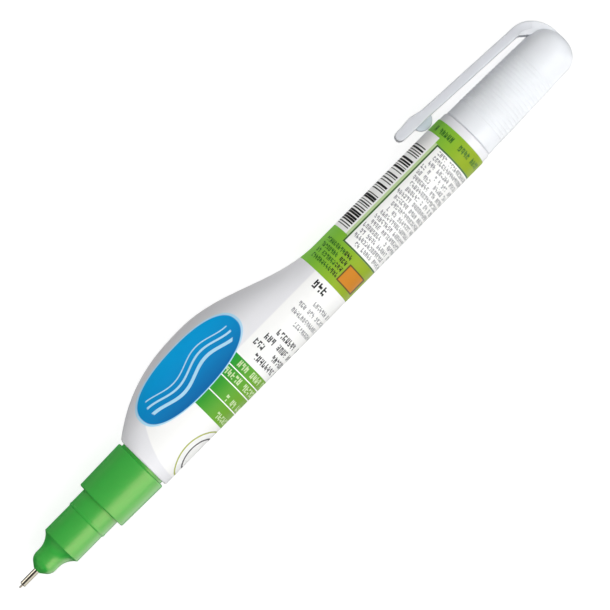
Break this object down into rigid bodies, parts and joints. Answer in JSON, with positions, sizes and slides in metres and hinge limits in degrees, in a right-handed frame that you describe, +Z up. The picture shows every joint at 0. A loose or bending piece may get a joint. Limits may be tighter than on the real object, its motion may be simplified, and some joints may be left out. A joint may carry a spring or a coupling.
{
  "type": "correction pen",
  "caption": "Squeeze correction pen: bellied bottle with a printed sleeve, green nozzle with a sprung needle tip, and a ribbed clip cap that slides off the back end.",
  "frame": {"origin": "on the table, under the middle of the pen's box as it lies", "axes": "+X along the pen from the tip to the cap, +Y towards the belly and the clip, +Z up"},
  "size_m": [0.1468, 0.0188, 0.0118],
  "materials": {
    "bottle_plastic": "soft white squeeze plastic",
    "label_film": "printed shrink film",
    "nozzle_plastic": "moulded green plastic",
    "seal_rubber": "soft pale seal",
    "tip_metal": "drawn nickel silver tube",
    "needle_steel": "drawn wire",
    "head_brass": "turned brass",
    "spring_steel": "wound wire",
    "retainer_plastic": "moulded plastic",
    "ball_steel": "polished ball",
    "fluid_white": "white correction fluid",
    "cap_plastic": "milky translucent plastic"
  },
  "bodies": {
    "barrel": {"squeeze_bottle": "bottle_plastic", "label_sleeve": "label_film", "nozzle": "nozzle_plastic", "neck_seal": "seal_rubber", "tip_sleeve": "tip_metal", "needle_spring": "spring_steel", "spring_retainer": "retainer_plastic", "correction_fluid": "fluid_white"},
    "needle": {"valve_needle": "needle_steel", "needle_head": "head_brass"},
    "ball": {"mixing_ball": "ball_steel"},
    "cap": {"cap_shell": "cap_plastic", "cap_seal": "seal_rubber"},
    "clip": {"pocket_clip": "cap_plastic"}
  },
  "joints": [
    {"name": "cap_pull", "type": "slide", "parent": "barrel", "child": "cap", "axis": [1, 0, 0], "range_m": [0, 0.03]},
    {"name": "clip_flex", "type": "hinge", "parent": "cap", "child": "clip", "pos_m": [0.0676, 0.00373, 0.00592], "axis": [0, 0, -1], "range_deg": [0, 6], "stiffness_Nm_per_rad": 0.8},
    {"name": "needle_press", "type": "slide", "parent": "barrel", "child": "needle", "axis": [1, 0, 0], "range_m": [0, 0.0005], "stiffness_N_per_m": 150, "springref_m": -0.002, "deforming": ["needle_spring"]},
    {"name": "ball_rattle", "type": "slide", "parent": "barrel", "child": "ball", "axis": [1, 0, 0], "range_m": [-0.035, 0.0465], "deforming": ["correction_fluid"]}
  ]
}
